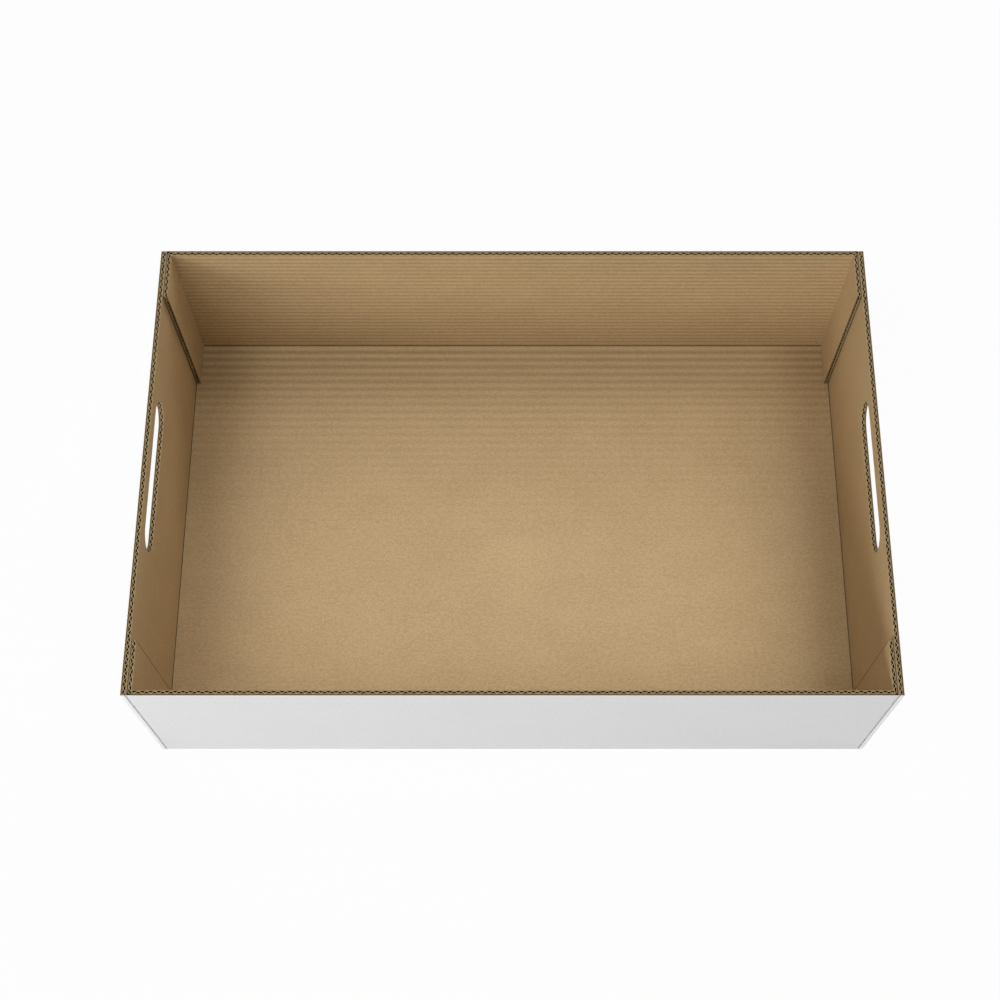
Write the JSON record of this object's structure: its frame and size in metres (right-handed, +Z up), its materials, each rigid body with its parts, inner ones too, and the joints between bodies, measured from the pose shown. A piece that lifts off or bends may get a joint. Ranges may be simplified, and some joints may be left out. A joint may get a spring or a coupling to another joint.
{
  "type": "corrugated tray",
  "caption": "Open rectangular tray folded from double-wall corrugated board, white outside and brown kraft inside, with glued corner tabs and a hand hole in each end wall.",
  "frame": {"origin": "centre of the underside of the floor", "axes": "+Z up out of the open top, +X along the long side, -Y towards the front wall"},
  "size_m": [0.6, 0.392, 0.1685],
  "materials": {
    "kraft_board": "uncoated brown kraft liner, matt, with the flutes showing faintly through",
    "white_liner": "smooth white-top liner, matt"
  },
  "bodies": {
    "root": {"folded_tray": "kraft_board"}
  },
  "joints": []
}
